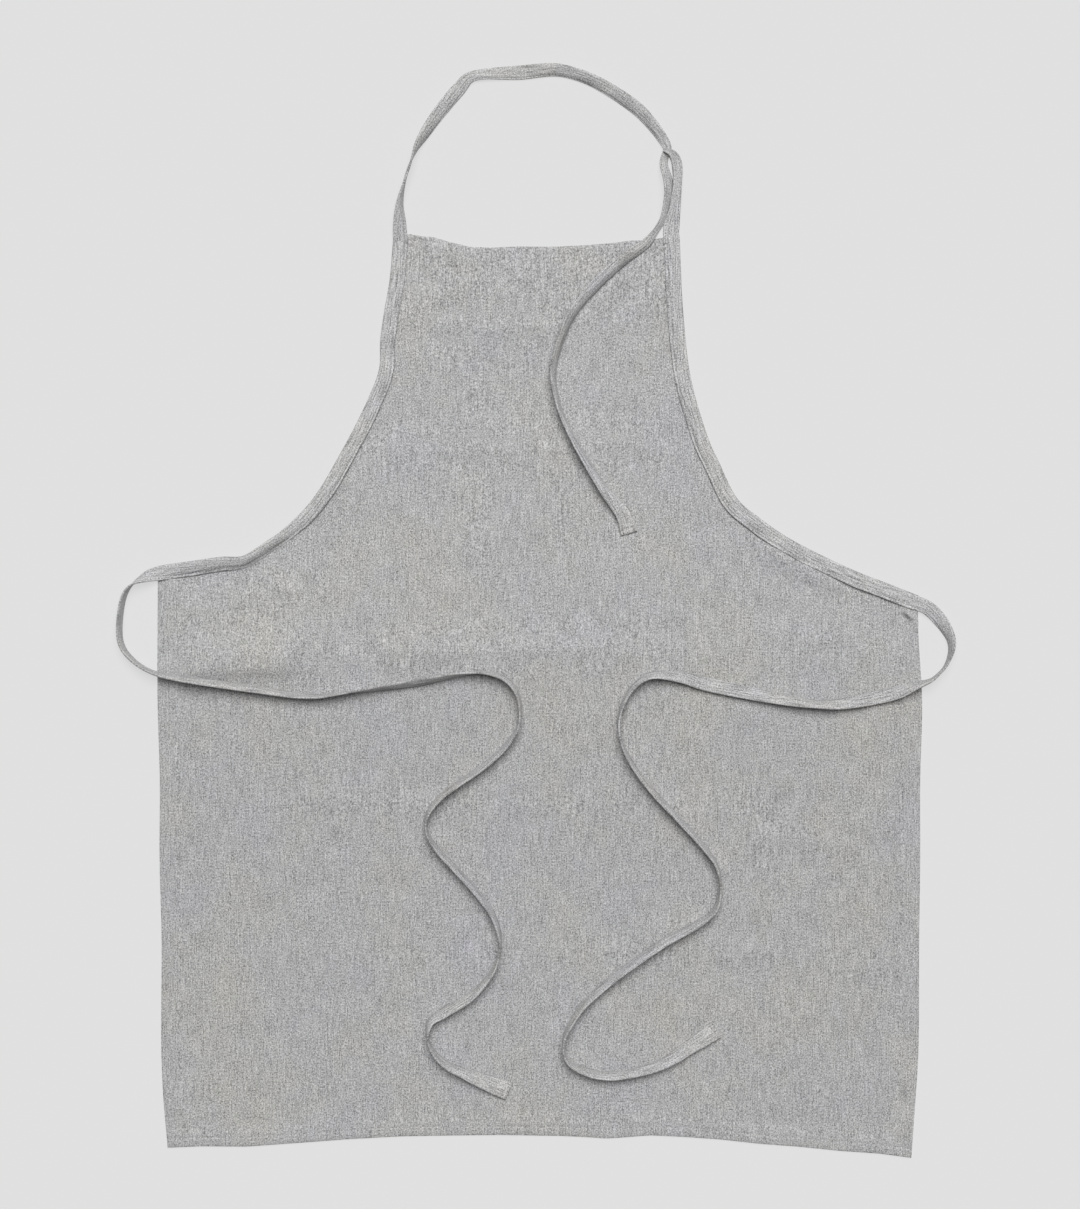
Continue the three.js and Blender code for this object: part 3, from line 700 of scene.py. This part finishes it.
def sewn_tape(name, frames):
    """A flat tape, folded and sewn along its right edge, with its free end turned in."""
    centre, across, run = frames
    thick = np.interp(run[-1] - run, *zip(*END_HEM))
    places = centre[:, None, :] + tape_section(*across, TAPE_PROFILE, thick)
    places[:, :, 2] = np.maximum(places[:, :, 2], 0.0)
    return swept(name, places, run, TAPE_PROFILE[:, 0] * TAPE)


def on_face(across, shares, high, step=0.5):
    """Places at shares across a tape and at a height above its middle, in millimetres, and the way out of
    its face there. Below 0 is the other face."""
    levels = (high, high + math.copysign(step, high))
    profiles = [np.column_stack([shares, np.full(len(shares), level)]) for level in levels]
    low, above = (tape_section(*across, profile) for profile in profiles)
    return low, (above - low) / (step * MM)


def tape_seams(frames):
    """The lines of stitches on a tape's two faces, each with the way out of its face."""
    centre, across, run = frames
    last = nearest(run, run[-1] - END_SEAM)
    across_end = [part[[last]] for part in across]
    seams = []
    for face in (1, -1):
        places, out = on_face(across, [SEAM_ACROSS], face * SEAM_HIGH)
        seams.append((centre + places[:, 0], out[:, 0]))
        places, out = on_face(across_end, END_SEAM_ACROSS, face * END_SEAM_HIGH)
        seams.append((centre[last] + places[0], out[0]))
    return seams


def loop_piece(name):
    """The neck loop's tape, which turns over itself round the strap, and the line of stitches on it."""
    rows = np.array(NECK_LOOP)
    run = run_along(rows[:, :3])
    even = np.linspace(0, run[-1], LOOP_RINGS)
    table = np.column_stack([soften(column, reach=3) for column in read_at(even, run, rows).T])
    centre, width = table[:, :3], table[:, 4]
    angle = np.radians(table[:, 3])
    across = np.column_stack([np.cos(angle), np.sin(angle), np.zeros(len(angle))])
    upright = np.cross(directions(centre), across)
    upright = upright / np.linalg.norm(upright, axis=1)[:, None]
    rings = (
        centre[:, None, :]
        + across[:, None, :] * (TAPE_PROFILE[None, :, 0] * width[:, None])[:, :, None]
        + upright[:, None, :] * TAPE_PROFILE[None, :, 1, None] * LOOP_HALF
    )
    seam = centre + across * (SEAM_ACROSS * width)[:, None] + upright * LOOP_SEAM_HIGH
    return swept(name, rings, even, TAPE_PROFILE[:, 0] * TAPE), (seam, upright)


def one_stitch():
    """One stitch of thread, lying along X with its ends pulled down, as its places and faces."""
    bpy.ops.object.select_all(action="DESELECT")
    along_x = (0, math.pi / 2, 0)
    bpy.ops.mesh.primitive_uv_sphere_add(segments=6, ring_count=5, radius=0.5, rotation=along_x)
    thread = bpy.context.object
    bpy.ops.object.transform_apply(location=False, rotation=True, scale=False)
    bpy.ops.object.mode_set(mode="EDIT")
    bpy.ops.mesh.select_mode(type="VERT")
    bpy.ops.mesh.select_all(action="DESELECT")
    bpy.ops.object.mode_set(mode="OBJECT")
    for vertex in thread.data.vertices:
        vertex.select = abs(vertex.co.x) > STITCH_END
    bpy.ops.object.mode_set(mode="EDIT")
    bpy.ops.transform.translate(value=(0, 0, -STITCH_DIP))
    bpy.ops.object.mode_set(mode="OBJECT")
    verts = np.array([vertex.co for vertex in thread.data.vertices])
    faces = [tuple(face.vertices) for face in thread.data.polygons]
    bpy.data.objects.remove(thread)
    return verts, faces


def stitches(name, seams, stitch):
    """Rows of stitches along lines, each line with the way out of the cloth."""
    shape, shape_faces = stitch
    verts, faces = [], []
    for line, out in seams:
        run = run_along(line)
        middles = np.arange(STITCH_PITCH, run[-1] - STITCH_PITCH / 2, STITCH_PITCH)
        spots, outs, ways = (read_at(middles, run, table) for table in (line, out, directions(line)))
        for spot, up, way in zip(spots, outs, ways):
            way = way / np.linalg.norm(way)
            up = up - way * up.dot(way)
            up = up / np.linalg.norm(up)
            across = np.cross(up, way)
            start = len(verts) * len(shape)
            verts.append(
                spot
                + np.outer(shape[:, 0] * STITCH_SIZE[0], way)
                + np.outer(shape[:, 1] * STITCH_SIZE[1], across)
                + np.outer(shape[:, 2] * STITCH_SIZE[2], up)
            )
            faces += [tuple(start + v for v in face) for face in shape_faces]
    return new_piece(name, np.concatenate(verts), faces)


def facing_up(line):
    """A line of stitches on cloth that lies flat, with the way out of the cloth."""
    return line, np.tile(UP, (len(line), 1))


# Binding

# Its section over the cloth's edge, in millimetres: out from the edge, and up
BINDING_PROFILE = np.array([
    (-12.4, 0.02), (0.4, 0.0), (1.0, 0.3), (1.33, 1.1), (1.33, 2.3), (1.0, 3.0), (0.3, 3.4),
    (-3.0, 3.55), (-5.0, 3.53), (-7.2, 3.5), (-8.8, 3.45), (-9.5, 2.95), (-10.2, 3.55), (-11.3, 3.95),
    (-12.2, 3.75), (-12.6, 3.1), (-12.4, 2.5), (0.2, 2.45), (0.25, 1.2), (-12.4, 0.95),
]) * MM
BINDING_OUT, BINDING_HIGH = BINDING_PROFILE.T
# The place in the section where its outer side turns on to its upper face
SHOULDER = 5
# Where its line of stitches runs: out from the edge, and up
SEWN_OUT = -0.0095
SEWN_HIGH = 0.0030
# Where the section's places lie across the tape that it is folded from
INNERMOST = BINDING_OUT.min()
OUTERMOST = BINDING_OUT.max()
BINDING_ACROSS = TAPE * np.interp(BINDING_OUT, [INNERMOST, SEWN_OUT, OUTERMOST], [-0.5, SEAM_ACROSS, 0.5])
# Which places are at its inner edge, how much each rises with the lip there, which rise with a roll, and
# which are on its outer side
INNER = BINDING_OUT < -0.008
LIP = np.clip((BINDING_HIGH - 0.0026) / 0.0013, 0, 1) * (BINDING_OUT < SEWN_OUT)
ROLLING = BINDING_HIGH > 0.0022
OUTER_SIDE = (BINDING_OUT > 0.0003) & (BINDING_HIGH < 0.0030)
# Unevenness of a sewn binding: how far its inner edge drifts and its lip swells
DRIFT = 0.0005
SWELL = 0.0004
# Where a binding that rolls up is steeper, near its seam, and where its even slant begins and ends
ROLL_STEEP = (-0.0122, -0.0050)
ROLL_SLANT = (-0.0126, 0.0013)


def rolled_up(out):
    """How much of a binding's roll is reached across it."""
    return 0.5 * ease(out, *ROLL_STEEP) + 0.5 * np.interp(out, ROLL_SLANT, (0, 1))


def uneven(run, size, seed):
    """Slow, even noise from -1 to 1 along a length."""
    return np.array([noise.noise(Vector((s / size, seed, 5.0))) for s in run])


def binding_piece(name, armhole, downwards, deeper, lip_heights, rolls):
    """Tape folded over the cloth's edge in an armhole, and the line of stitches near its inner edge."""
    line, run = smooth_route(armhole[::-1] if downwards else armhole, spacing=0.004)
    way = directions(line)
    outwards = np.column_stack([-way[:, 1], way[:, 0]])
    swell = uneven(run, size=0.018, seed=3.0)
    drift = uneven(run, size=0.03, seed=9.0)
    share = run / run[-1]
    shares, lifts, draws = zip(*rolls)
    roll = np.interp(share, shares, lifts)
    drawn = 1 - np.interp(share, shares, draws)
    out = BINDING_OUT + (DRIFT * drift[:, None] - deeper) * INNER
    out = np.where(out < 0, out * drawn[:, None], out)
    raised = SWELL * swell + np.interp(share, *zip(*lip_heights))
    rolled = rolled_up(BINDING_OUT) * ROLLING
    high = BINDING_HIGH + raised[:, None] * LIP + roll[:, None] * rolled
    rings = np.concatenate([
        line[:, None, :] + outwards[:, None, :] * out[:, :, None],
        high[:, :, None],
    ], axis=2)
    across = np.where(OUTER_SIDE, TAPE / 2 + high[:, [SHOULDER]] - high, BINDING_ACROSS)
    sewn_line = line + outwards * ((SEWN_OUT - deeper) * drawn)[:, None]
    seam = np.column_stack([sewn_line, SEWN_HIGH + roll * rolled_up(SEWN_OUT)])
    return swept(name, rings, run, across), seam


# Materials

# Painted light and shade across a tape: a painted highlight just inside its folded edges, and painted
# shade at the very edges and along its seam
PAINTED_EDGE_LIGHT_SEAM_SHADE = [
    (0.0, 0.88), (0.045, 0.95), (0.085, 1.04), (0.12, 1.0), (0.16, 0.66), (0.20, 1.0), (0.80, 1.0),
    (0.915, 1.04), (0.955, 0.95), (1.0, 0.88),
]
# Painted light from the hem (y = -0.5) to the neck (y = 0.5): brighter towards the neck, and a step
# brighter above the waist
PAINTED_LIGHT_UP_APRON = [
    (0.0, 0.972), (0.34, 0.975), (0.49, 0.99), (0.506, 1.035), (0.72, 1.045), (0.9, 1.06), (1.0, 1.06),
]
# The darkest and the lightest fibres, as shares of a cloth's tone
DARK_FIBRE = 0.4
LIGHT_FIBRE = 1.6
# Slow drifts of colour in the cloth
COOL = (0.978, 0.982, 1.028, 1)
WARM = (1.02, 1.006, 0.962, 1)
# Width of a thread, and the turn of a wave texture over one unit at a scale of 1, in radians
THREAD = 0.0006
WAVE_TURN = 20
# The plain pale floor, most of whose light is its own glow, so that shadows on it stay faint
FLOOR_TONE = 0.14
FLOOR_GLOW = 0.607


class Nodes:
    """A material's node tree, filled from left to right."""

    def __init__(self, name):
        self.material = bpy.data.materials.new(name)
        self.material.use_nodes = True
        self.tree = self.material.node_tree
        self.tree.nodes.clear()
        self.column = 0

    def add(self, kind, inputs=(), **settings):
        """One node with its settings, and a link or a value for each named input."""
        node = self.tree.nodes.new(kind)
        node.location = (220 * self.column, -180 * (len(self.tree.nodes) % 5))
        self.column += 1
        for key, value in settings.items():
            setattr(node, key, value)
        for key, value in dict(inputs).items():
            if isinstance(value, bpy.types.NodeSocket):
                self.tree.links.new(value, node.inputs[key])
            else:
                node.inputs[key].default_value = value
        return node

    def calculate(self, operation, *values):
        """The outcome of one step of arithmetic."""
        return self.add("ShaderNodeMath", enumerate(values), operation=operation).outputs[0]

    def surfaced(self, inputs):
        """The material, with its surface put last."""
        shader = self.add("ShaderNodeBsdfPrincipled", inputs)
        self.add("ShaderNodeOutputMaterial", {"Surface": shader.outputs["BSDF"]})
        return self.material


def heathered(name, tone, coordinate, streaks=1.0):
    """Heathered grey plain weave: light and dark fibres spun together, with slubs along the warp.
    On a tape, laid out by its UV, a painted highlight lies along the folded edges, and painted shade at
    their very edges and in the seam."""
    nodes = Nodes(name)
    where = nodes.add("ShaderNodeTexCoord").outputs[coordinate]

    def grain(size_x, size_y, detail=2.0, rough=0.5):
        """Noise with grains of a size across and along the warp."""
        scale = (1 / size_x, 1 / size_y, 1 / size_x)
        spot = nodes.add("ShaderNodeMapping", {"Vector": where, "Scale": scale})
        return nodes.add(
            "ShaderNodeTexNoise",
            {"Vector": spot.outputs["Vector"], "Scale": 1.0, "Detail": detail, "Roughness": rough},
        ).outputs["Fac"]

    def multiplied(one, other):
        """One colour times another."""
        return nodes.add(
            "ShaderNodeMix",
            {"Factor": 1.0, "A": one, "B": other},
            data_type="RGBA",
            blend_type="MULTIPLY",
        ).outputs["Result"]

    def total(parts):
        """The sum of grains, each taken about 0 and given its gain."""
        terms = [
            nodes.calculate("MULTIPLY", nodes.calculate("SUBTRACT", value, 0.5), gain)
            for value, gain in parts
        ]
        so_far = terms[0]
        for term in terms[1:]:
            so_far = nodes.calculate("ADD", so_far, term)
        return so_far

    def ramp(value, steps):
        """A colour for each value, from a table of places and colours."""
        node = nodes.add("ShaderNodeValToRGB", {"Fac": value})
        elements = node.color_ramp.elements
        while len(elements) < len(steps):
            elements.new(0.5)
        for element, (place, _) in zip(elements, steps):
            element.position = place
        for element, (_, colour) in zip(elements, steps):
            element.color = colour
        return node.outputs["Color"]

    def greys(steps):
        """A table of places and tones, as places and colours."""
        return [(place, (lift, lift, lift, 1)) for place, lift in steps]

    speck = grain(0.0011, 0.0015, detail=0.0)
    fibre = grain(0.0007, 0.0009, detail=0.0)
    warp = grain(0.0011, 0.020, detail=1.0)
    weft = grain(0.009, 0.0011, detail=1.0)
    cloud = grain(0.018, 0.020, detail=1.0)
    mix = total([(speck, 1.1), (fibre, 0.9), (warp, 0.68 * streaks), (weft, 0.2), (cloud, 0.15)])
    level = nodes.calculate("ADD", mix, 0.5)
    drift = grain(0.11, 0.13, detail=5.0, rough=0.62)
    fibres = ramp(level, greys([(0.0, tone * DARK_FIBRE), (1.0, tone * LIGHT_FIBRE)]))
    colour = multiplied(fibres, ramp(drift, [(0.3, COOL), (0.7, WARM)]))
    place = nodes.add("ShaderNodeTexCoord").outputs["Object"]
    up_apron = nodes.add("ShaderNodeSeparateXYZ", {"Vector": place}).outputs["Y"]
    # Painted light, brighter towards the neck and above the waist
    colour = multiplied(colour, ramp(nodes.calculate("ADD", up_apron, 0.5), greys(PAINTED_LIGHT_UP_APRON)))
    if coordinate == "UV":
        across = nodes.add("ShaderNodeSeparateXYZ", {"Vector": where}).outputs["X"]
        share = nodes.calculate("MULTIPLY_ADD", across, 1 / TAPE, 0.5)
        # Painted highlight along a tape's folded edges, and painted shade at its very edges and in its
        # seam
        colour = multiplied(colour, ramp(share, greys(PAINTED_EDGE_LIGHT_SEAM_SHADE)))
    threads = [
        nodes.add(
            "ShaderNodeTexWave",
            {"Vector": where, "Scale": math.pi / THREAD / WAVE_TURN, "Distortion": 0.6, "Detail": 0.0},
            bands_direction=direction,
        ).outputs["Fac"]
        for direction in ("X", "Y")
    ]
    weave = nodes.calculate("MULTIPLY", *threads)
    relief = nodes.calculate("ADD", weave, warp)
    bump = nodes.add("ShaderNodeBump", {"Height": relief, "Strength": 0.25, "Distance": 0.0003})
    return nodes.surfaced({
        "Base Color": colour,
        "Roughness": 0.92,
        "Specular IOR Level": 0.2,
        "Sheen Weight": 0.12,
        "Sheen Roughness": 0.5,
        "Normal": bump.outputs["Normal"],
    })


def pale_floor():
    """The floor's plain matt material."""
    return Nodes("pale_floor").surfaced({
        "Base Color": (FLOOR_TONE, FLOOR_TONE, FLOOR_TONE, 1),
        "Roughness": 0.9,
        "Specular IOR Level": 0.1,
        "Emission Color": (1, 1, 1, 1),
        "Emission Strength": FLOOR_GLOW,
    })


# Stage, light and camera

# A soft sun from beyond the neck, and a faint even sky
SUN_FROM = (0.12, 1.15, 2.4)
SUN_SPREAD = 44
SUN_STRENGTH = 2.88
SKY_STRENGTH = 0.15
# The camera, straight above: its lens and sensor in millimetres, the place on the floor below it, and the
# length of floor that the picture's long side takes in
LENS = 80
SENSOR = 36
VIEW_CENTRE = (0.0009, 0.0463)
VIEW_LONG = 1.1365


def stage():
    """The floor, the light and the camera."""
    bpy.ops.object.select_all(action="DESELECT")
    bpy.ops.mesh.primitive_plane_add(size=8, location=(0, 0, -0.2 * MM))
    floor = bpy.context.object
    floor.name = "floor"
    floor.data.materials.append(pale_floor())
    scene = bpy.context.scene
    scene.world = scene.world or bpy.data.worlds.new("studio")
    scene.world.use_nodes = True
    background = next(n for n in scene.world.node_tree.nodes if n.type == "BACKGROUND")
    background.inputs["Color"].default_value = (1, 1, 1, 1)
    background.inputs["Strength"].default_value = SKY_STRENGTH
    scene.view_settings.view_transform = "Standard"
    lamp = bpy.data.lights.new("soft_key", "SUN")
    lamp.angle = math.radians(SUN_SPREAD)
    lamp.energy = SUN_STRENGTH
    key = bpy.data.objects.new("soft_key", lamp)
    scene.collection.objects.link(key)
    key.location = SUN_FROM
    aim = Vector((0, 0, 0)) - key.location
    key.rotation_euler = aim.to_track_quat("-Z", "Y").to_euler()
    view = bpy.data.cameras.new("above")
    view.lens = LENS
    view.sensor_width = SENSOR
    camera = bpy.data.objects.new("above", view)
    scene.collection.objects.link(camera)
    camera.location = (*VIEW_CENTRE, VIEW_LONG * LENS / SENSOR)
    scene.camera = camera


# Apron

CLOTH_TONE = 0.425
TAPE_TONE = 0.455
TAPE_STREAKS = 2.0
THREAD_TONE = 0.55
# How many columns of the cloth's grid the bottom and the top hem's stitches end short of its sides
BOTTOM_INSET = 4
TOP_INSET = 10
# Short rows of stitches across the right binding
TACKS = [
    [(0.1215, 0.3560, 0.0037), (0.1335, 0.3560, 0.0037)],
    [(0.1452, 0.2030, 0.0037), (0.1576, 0.2030, 0.0037)],
]

stage()
grid_x, grid_y, from_side, up_bib = cloth_grid()
upper_face, lower_face = cloth_heights(grid_x, grid_y, from_side, up_bib)
cloth = cloth_piece(grid_x, grid_y, upper_face, lower_face)
surface = Surface(grid_x, grid_y, upper_face)
cloth_grey = heathered("heathered_cloth", CLOTH_TONE, "Object")
tape_grey = heathered("heathered_tape", TAPE_TONE, "UV", streaks=TAPE_STREAKS)
cloth.data.materials.append(cloth_grey)
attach(cloth, "root")
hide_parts("body_panel")

thread_grey = heathered("thread", THREAD_TONE, "Object")
stitch = one_stitch()


def sewn_on(piece, finish, slot, *nodes):
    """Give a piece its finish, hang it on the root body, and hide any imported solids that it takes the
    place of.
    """
    piece.data.materials.append(finish)
    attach(piece, "root")
    if nodes:
        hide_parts(*nodes)


def sew(name, seams):
    """Add rows of stitches as one piece."""
    sewn_on(stitches(name, seams, stitch), thread_grey, "tape")


def cloth_line(rows, columns):
    """Places along a row or a column of the cloth's grid."""
    return np.column_stack([grid[rows, columns] for grid in (grid_x, grid_y, upper_face)])


for side, armhole, downwards, deeper, lips, rolls in (
    ("left", LEFT_ARMHOLE, False, 0.0, LEFT_LIP, LEFT_ROLL),
    ("right", RIGHT_ARMHOLE, True, 0.0008, RIGHT_LIP, RIGHT_ROLL),
):
    band, seam = binding_piece(f"{side}_armhole_tape", armhole, downwards, deeper, lips, rolls)
    sewn_on(band, tape_grey, "tape", f"{side}_binding")
    sew(f"{side}_armhole_stitches", [facing_up(seam)])

# Each free tape starts inside a binding's end, and leaves it where its route begins
for name, sewn_end, route, node in (
    ("strap", at(-0.1300, 0.3845, 0), NECK_STRAP, "neck_strap"),
    ("left_tie", at(-0.3475, 0.0768, 0), LEFT_WAIST_TIE, "left_waist_tie"),
    ("right_tie", at(0.3442, 0.0515, 0), RIGHT_WAIST_TIE, "right_waist_tie"),
):
    frames = tape_frames([sewn_end, *route], surface)
    band = sewn_tape(name, frames)
    sewn_on(band, tape_grey, "tape", node)
    sew(f"{name}_stitches", tape_seams(frames))

loop, seam = loop_piece("loop")
sewn_on(loop, tape_grey, "tape", "neck_loop")
sew("loop_stitches", [seam])

skirt = up_bib[:, 0] == 0
left_column = nearest(SIDE_LINES, SIDE_GROOVE)
right_column = grid_x.shape[1] - 1 - left_column
bottom_row = nearest(BOTTOM_LINES, BOTTOM_GROOVE)
top_row = nearest(up_bib[:, 0], TOP_SEAM)
hem_lines = [
    cloth_line(skirt, left_column),
    cloth_line(skirt, right_column),
    cloth_line(bottom_row, slice(BOTTOM_INSET, -BOTTOM_INSET)),
    cloth_line(top_row, slice(TOP_INSET, -TOP_INSET)),
]
sew("hem_stitches", [facing_up(line) for line in hem_lines])
sew("tack_stitches", [facing_up(np.array(line)) for line in TACKS])
